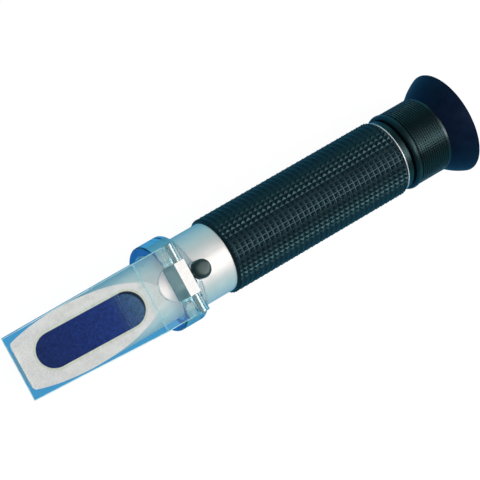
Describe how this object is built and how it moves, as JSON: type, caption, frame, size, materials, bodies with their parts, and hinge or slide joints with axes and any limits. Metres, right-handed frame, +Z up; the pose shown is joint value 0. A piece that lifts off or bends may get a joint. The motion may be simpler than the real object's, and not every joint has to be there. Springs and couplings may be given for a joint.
{
  "type": "refractometer",
  "caption": "Handheld optical refractometer with a sloping prism under a hinged clear daylight plate, a ribbed rubber grip and a focusing eyepiece.",
  "frame": {"origin": "under the middle of the instrument's length, level with the lowest point of the eyecup rim, on the plane of symmetry", "axes": "+X along the optical axis towards the prism end, +Z up towards the daylight plate and the zero-adjustment cap, +Y to the side"},
  "size_m": [0.1905, 0.0386, 0.0386],
  "materials": {
    "satin_aluminium": "satin turned",
    "bright_ring": "polished",
    "blackened_metal": "matte black",
    "black_anodised": "satin black",
    "prism_glass": "polished deep blue",
    "lens_glass": "polished",
    "cement": "matte",
    "nitrile": "matte",
    "clear_plastic": "clear moulded",
    "steel": "bright",
    "grip_rubber": "moulded pyramid texture",
    "cap_plastic": "semi-gloss",
    "brass": "machined"
  },
  "bodies": {
    "body": {"prism_head": "satin_aluminium", "main_prism": "prism_glass", "prism_cement": "cement", "light_trap": "blackened_metal", "head_o_ring": "nitrile", "barrel_tube": "satin_aluminium", "hinge_collar": "clear_plastic", "collar_grub_screws": "steel", "hinge_pin": "steel", "grip_sleeve": "grip_rubber", "grip_end_ring": "bright_ring", "screw_bush": "brass", "objective_seat": "blackened_metal", "carriage_spring": "steel", "front_spacer_tube": "blackened_metal", "front_baffle": "blackened_metal", "rear_spacer_tube": "blackened_metal", "reticle_cell": "blackened_metal", "reticle": "lens_glass", "reticle_retaining_ring": "blackened_metal", "eyepiece_neck": "black_anodised", "neck_o_ring": "nitrile"},
    "daylight_plate": {"daylight_plate": "clear_plastic"},
    "calibration_cap": {"calibration_cap": "cap_plastic"},
    "calibration_screw": {"calibration_screw": "brass", "screw_clip": "steel"},
    "objective_carriage": {"objective_carriage": "blackened_metal", "objective_lens": "lens_glass", "objective_retaining_ring": "blackened_metal"},
    "eyepiece_cell": {"eyepiece_cell": "blackened_metal", "field_lens": "lens_glass", "lens_spacer": "blackened_metal", "eye_lens": "lens_glass", "eye_lens_ring": "blackened_metal", "focus_ring_retainer": "blackened_metal"},
    "focus_ring": {"focus_ring": "black_anodised", "eyecup_ring": "bright_ring", "eyecup": "grip_rubber"}
  },
  "joints": [
    {"name": "plate_hinge", "type": "hinge", "parent": "body", "child": "daylight_plate", "pos_m": [0.033, 0, 0.0359], "axis": [0, -1, 0], "range_deg": [0, 120]},
    {"name": "cap_pull", "type": "slide", "parent": "body", "child": "calibration_cap", "axis": [0, 0, 1], "range_m": [0, 0.006]},
    {"name": "screw_turn", "type": "hinge", "parent": "body", "child": "calibration_screw", "pos_m": [0.026, 0, 0.0313], "axis": [0, 0, 1], "range_deg": [-180, 180]},
    {"name": "carriage_shift", "type": "slide", "parent": "body", "child": "objective_carriage", "axis": [0, 0, 1], "range_m": [-0.000249, 0.000249], "deforming": ["carriage_spring"]},
    {"name": "focus_travel", "type": "slide", "parent": "body", "child": "eyepiece_cell", "axis": [-1, 0, 0], "range_m": [-0.00066, 0.00366]},
    {"name": "focus_turn", "type": "hinge", "parent": "eyepiece_cell", "child": "focus_ring", "pos_m": [-0.0792, 0, 0.0193], "axis": [-1, 0, 0], "range_deg": [-40, 220]}
  ],
  "couplings": [
    {"joint": "screw_turn", "follows": "carriage_shift", "rad_per_m": 12566},
    {"joint": "focus_turn", "follows": "focus_travel", "rad_per_m": 1047.2}
  ]
}
